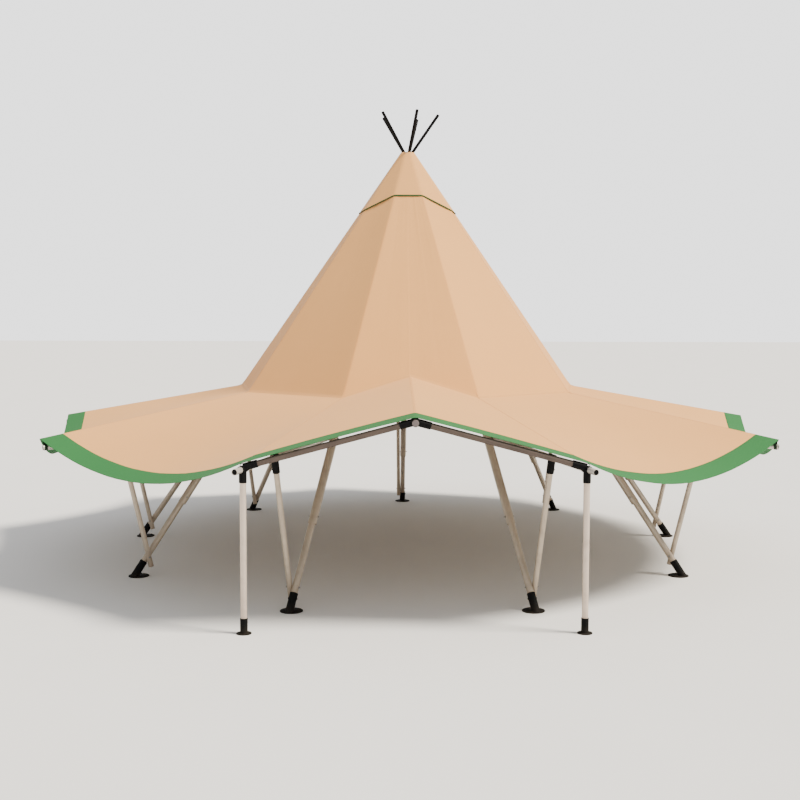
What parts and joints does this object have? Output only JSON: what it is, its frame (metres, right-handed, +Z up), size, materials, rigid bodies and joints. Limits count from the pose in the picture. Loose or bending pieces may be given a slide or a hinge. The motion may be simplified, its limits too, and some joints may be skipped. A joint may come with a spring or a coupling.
{
  "type": "tipi canopy",
  "caption": "Free-standing open-sided tipi canopy: conical canvas roof on leaning tube legs, wide scalloped brim on strutted arms, gabled entrance and a crown of short rods.",
  "frame": {"origin": "on the ground at the middle of the canopy's outline; the cone's axis is 0.186 m behind it towards -Y", "axes": "+Z up, the gabled entrance faces -Y, +X to the right seen from the entrance"},
  "size_m": [10.8584, 10.6536, 6.5475],
  "materials": {
    "tube": "brushed natural aluminium with a light warm tint",
    "post": "brushed natural aluminium",
    "rafter": "brushed aluminium, darker brown grey",
    "fitting": "fine textured black powder coat",
    "boot": "black powder coat, scuffed at the plate edges",
    "crown": "satin black powder coat",
    "canvas": "tan polycotton canvas, matt plain weave",
    "cap_canvas": "tan polycotton canvas, matt plain weave",
    "border": "green coated cloth border and piping, matt",
    "bolt": "zinc plated bolts, nuts and washers"
  },
  "bodies": {
    "root": {"leg_front_right": "tube", "boot_front_right": "boot", "arm_front_right": "tube", "strut_front_right": "tube", "leg_right_front": "tube", "boot_right_front": "boot", "arm_right_front": "tube", "strut_right_front": "tube", "leg_right_rear": "tube", "boot_right_rear": "boot", "arm_right_rear": "tube", "strut_right_rear": "tube", "leg_rear_right": "tube", "boot_rear_right": "boot", "arm_rear_right": "tube", "strut_rear_right": "tube", "leg_rear": "tube", "boot_rear": "boot", "arm_rear": "tube", "strut_rear": "tube", "leg_rear_left": "tube", "boot_rear_left": "boot", "arm_rear_left": "tube", "strut_rear_left": "tube", "leg_left_rear": "tube", "boot_left_rear": "boot", "arm_left_rear": "tube", "strut_left_rear": "tube", "leg_left_front": "tube", "boot_left_front": "boot", "arm_left_front": "tube", "strut_left_front": "tube", "leg_front_left": "tube", "boot_front_left": "boot", "arm_front_left": "tube", "strut_front_left": "tube", "post_right": "post", "post_foot_right": "boot", "post_tee_right": "fitting", "rafter_right": "rafter", "post_left": "post", "post_foot_left": "boot", "post_tee_left": "fitting", "rafter_left": "rafter", "peak_elbow": "fitting", "ridge_tube": "rafter", "cross_bar": "tube", "crown": "crown", "canopy_brim": "canvas", "canopy_gable": "canvas", "canopy_cap": "cap_canvas", "canopy_panel_right_front": "canvas", "canopy_panel_right": "canvas", "canopy_panel_right_rear": "canvas", "canopy_panel_rear_right": "canvas", "canopy_panel_rear_left": "canvas", "canopy_panel_left_rear": "canvas", "canopy_panel_left": "canvas", "canopy_panel_left_front": "canvas", "canopy_panel_front": "canvas"}
  },
  "joints": []
}
